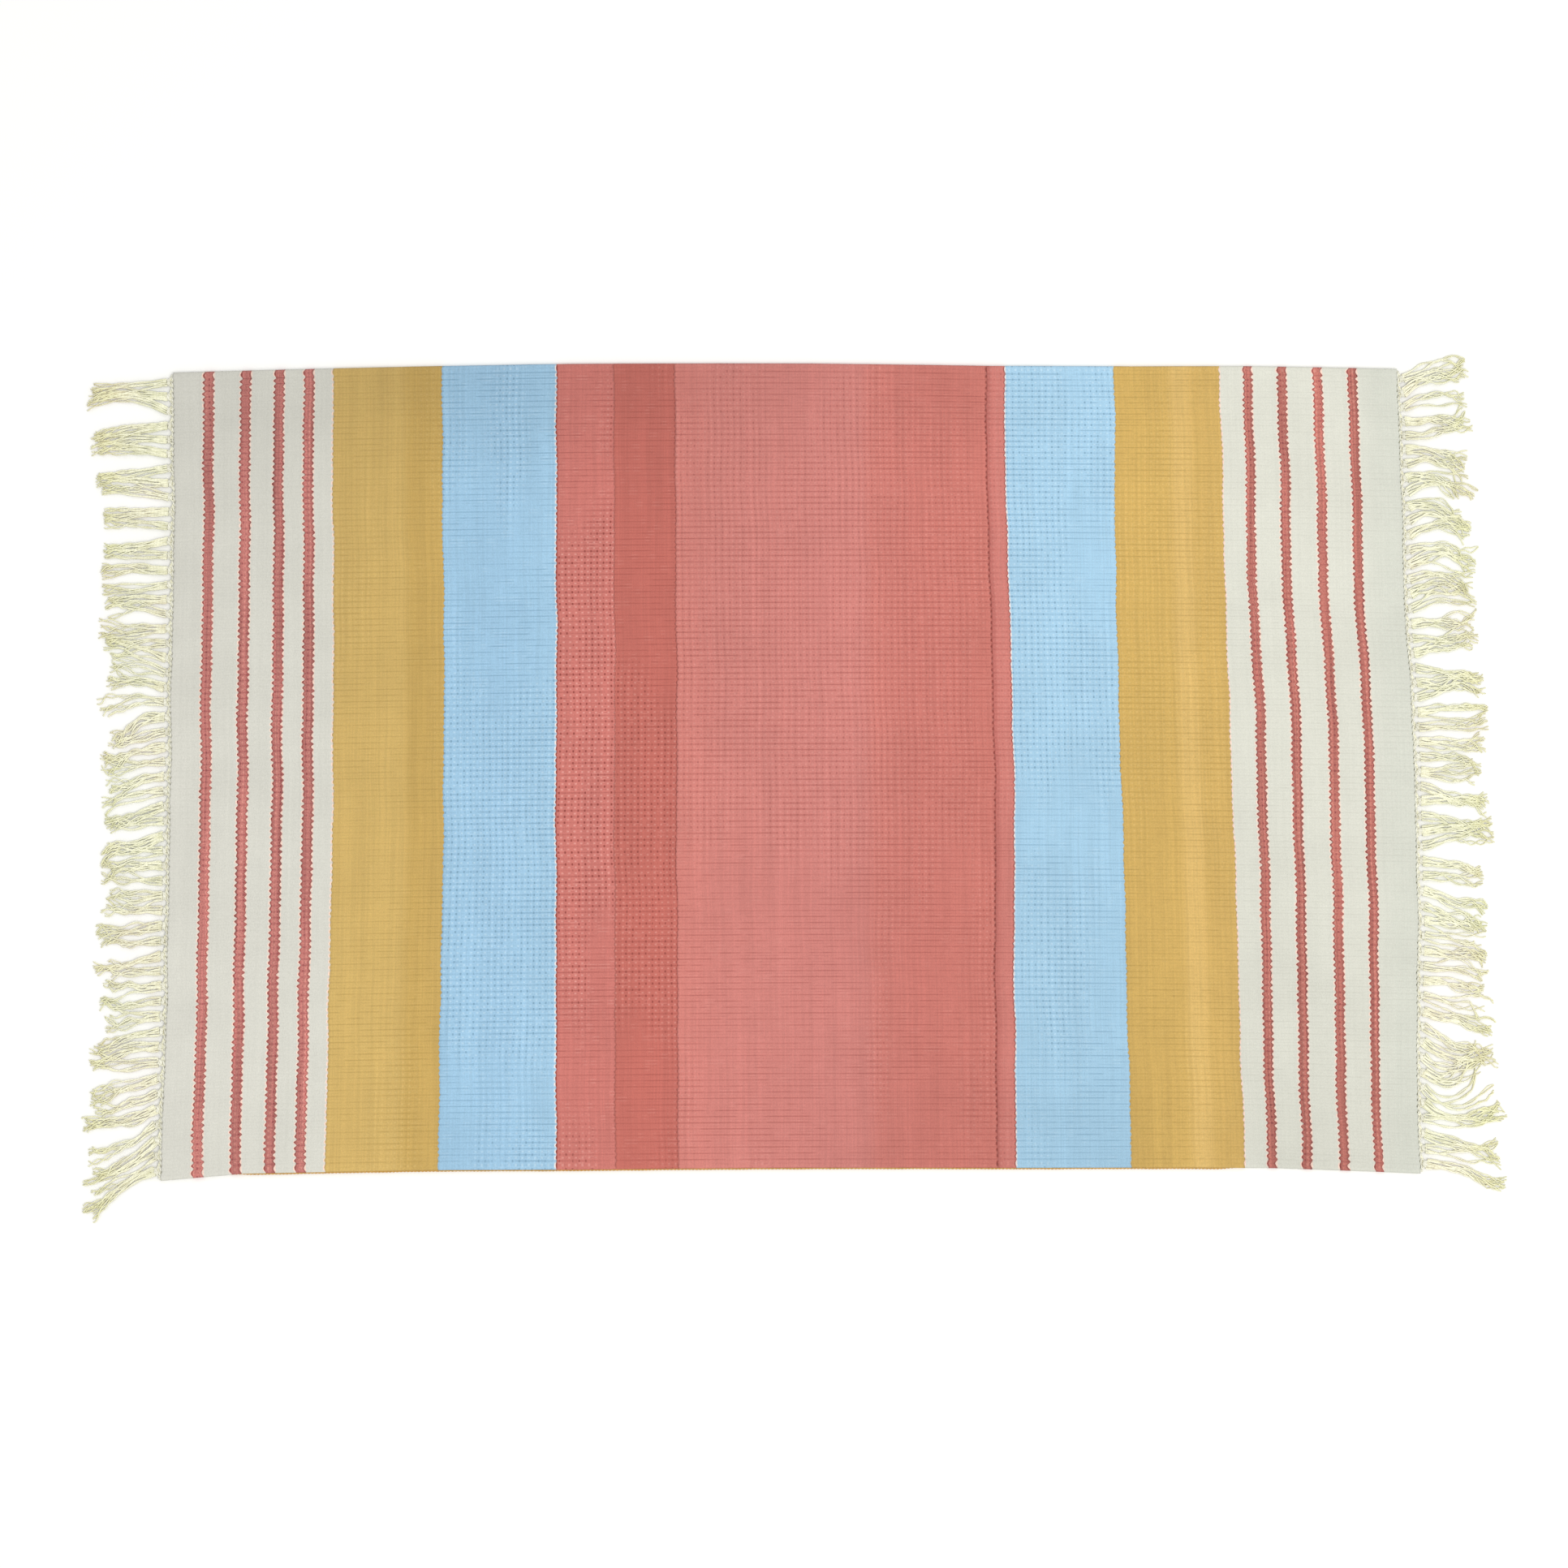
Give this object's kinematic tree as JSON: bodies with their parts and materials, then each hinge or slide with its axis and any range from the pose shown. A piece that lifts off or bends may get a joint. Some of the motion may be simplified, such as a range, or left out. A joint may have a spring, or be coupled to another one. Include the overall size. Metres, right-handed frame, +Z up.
{
  "type": "runner rug",
  "caption": "Small hand-woven cotton flatweave runner rug with broad colour bands, thin stripes near both ends and a knotted fringe.",
  "frame": {"origin": "on the floor, under the middle of the rug", "axes": "+X along the rug, in the direction of its warp yarns, +Y across it, +Z up from the floor"},
  "size_m": [1.0248, 0.622, 0.004],
  "materials": {
    "undyed_cream_weft": "matte",
    "rose_stripe_weft": "matte",
    "mustard_weft": "matte",
    "sky_blue_weft": "matte",
    "light_red_weft": "matte",
    "deep_red_weft": "matte",
    "rose_red_weft": "matte",
    "edge_red_weft": "matte",
    "undyed_warp": "matte",
    "heading_twine": "matte",
    "edge_cord_yarn": "matte"
  },
  "bodies": {
    "left_border": {"left_cream_band_1": "undyed_cream_weft", "left_rose_stripe_1": "rose_stripe_weft", "left_cream_band_2": "undyed_cream_weft", "left_rose_stripe_2": "rose_stripe_weft", "left_cream_band_3": "undyed_cream_weft", "left_rose_stripe_3": "rose_stripe_weft", "left_cream_band_4": "undyed_cream_weft", "left_rose_stripe_4": "rose_stripe_weft", "left_cream_band_5": "undyed_cream_weft", "left_border_edge_cord_front": "edge_cord_yarn", "left_border_edge_cord_back": "edge_cord_yarn", "left_border_warp_yarns": "undyed_warp", "left_heading_twine_upper": "heading_twine", "left_heading_twine_lower": "heading_twine", "left_fringe_knots": "undyed_warp"},
    "left_mustard": {"left_mustard_band": "mustard_weft", "left_mustard_edge_cord_front": "edge_cord_yarn", "left_mustard_edge_cord_back": "edge_cord_yarn", "left_mustard_warp_yarns": "undyed_warp"},
    "left_blue": {"left_blue_band": "sky_blue_weft", "left_blue_edge_cord_front": "edge_cord_yarn", "left_blue_edge_cord_back": "edge_cord_yarn", "left_blue_warp_yarns": "undyed_warp"},
    "centre": {"red_band_light": "light_red_weft", "red_band_dark": "deep_red_weft", "red_band_rose": "rose_red_weft", "red_band_edge": "edge_red_weft", "centre_edge_cord_front": "edge_cord_yarn", "centre_edge_cord_back": "edge_cord_yarn", "centre_warp_yarns": "undyed_warp"},
    "right_blue": {"right_blue_band": "sky_blue_weft", "right_blue_edge_cord_front": "edge_cord_yarn", "right_blue_edge_cord_back": "edge_cord_yarn", "right_blue_warp_yarns": "undyed_warp"},
    "right_mustard": {"right_mustard_band": "mustard_weft", "right_mustard_edge_cord_front": "edge_cord_yarn", "right_mustard_edge_cord_back": "edge_cord_yarn", "right_mustard_warp_yarns": "undyed_warp"},
    "right_border": {"right_cream_band_5": "undyed_cream_weft", "right_rose_stripe_4": "rose_stripe_weft", "right_cream_band_4": "undyed_cream_weft", "right_rose_stripe_3": "rose_stripe_weft", "right_cream_band_3": "undyed_cream_weft", "right_rose_stripe_2": "rose_stripe_weft", "right_cream_band_2": "undyed_cream_weft", "right_rose_stripe_1": "rose_stripe_weft", "right_cream_band_1": "undyed_cream_weft", "right_border_edge_cord_front": "edge_cord_yarn", "right_border_edge_cord_back": "edge_cord_yarn", "right_border_warp_yarns": "undyed_warp", "right_heading_twine_upper": "heading_twine", "right_heading_twine_lower": "heading_twine", "right_fringe_knots": "undyed_warp"},
    "left_fringe": {"left_fringe_tassels": "undyed_warp"},
    "right_fringe": {"right_fringe_tassels": "undyed_warp"}
  },
  "joints": [
    {"name": "left_blue_fold", "type": "hinge", "parent": "centre", "child": "left_blue", "pos_m": [-0.17265, 0, 0.004], "axis": [0, 1, 0], "range_deg": [0, 50]},
    {"name": "left_mustard_fold", "type": "hinge", "parent": "left_blue", "child": "left_mustard", "pos_m": [-0.25765, 0, 0.004], "axis": [0, 1, 0], "range_deg": [0, 50]},
    {"name": "left_border_fold", "type": "hinge", "parent": "left_mustard", "child": "left_border", "pos_m": [-0.33855, 0, 0.004], "axis": [0, 1, 0], "range_deg": [0, 90]},
    {"name": "left_fringe_fold", "type": "hinge", "parent": "left_border", "child": "left_fringe", "pos_m": [-0.46035, 0, 0.004], "axis": [0, 1, 0], "range_deg": [0, 150]},
    {"name": "right_blue_fold", "type": "hinge", "parent": "centre", "child": "right_blue", "pos_m": [0.15895, 0, 0.004], "axis": [0, -1, 0], "range_deg": [0, 50]},
    {"name": "right_mustard_fold", "type": "hinge", "parent": "right_blue", "child": "right_mustard", "pos_m": [0.24165, 0, 0.004], "axis": [0, -1, 0], "range_deg": [0, 50]},
    {"name": "right_border_fold", "type": "hinge", "parent": "right_mustard", "child": "right_border", "pos_m": [0.32135, 0, 0.004], "axis": [0, -1, 0], "range_deg": [0, 90]},
    {"name": "right_fringe_fold", "type": "hinge", "parent": "right_border", "child": "right_fringe", "pos_m": [0.46035, 0, 0.004], "axis": [0, -1, 0], "range_deg": [0, 150]}
  ]
}
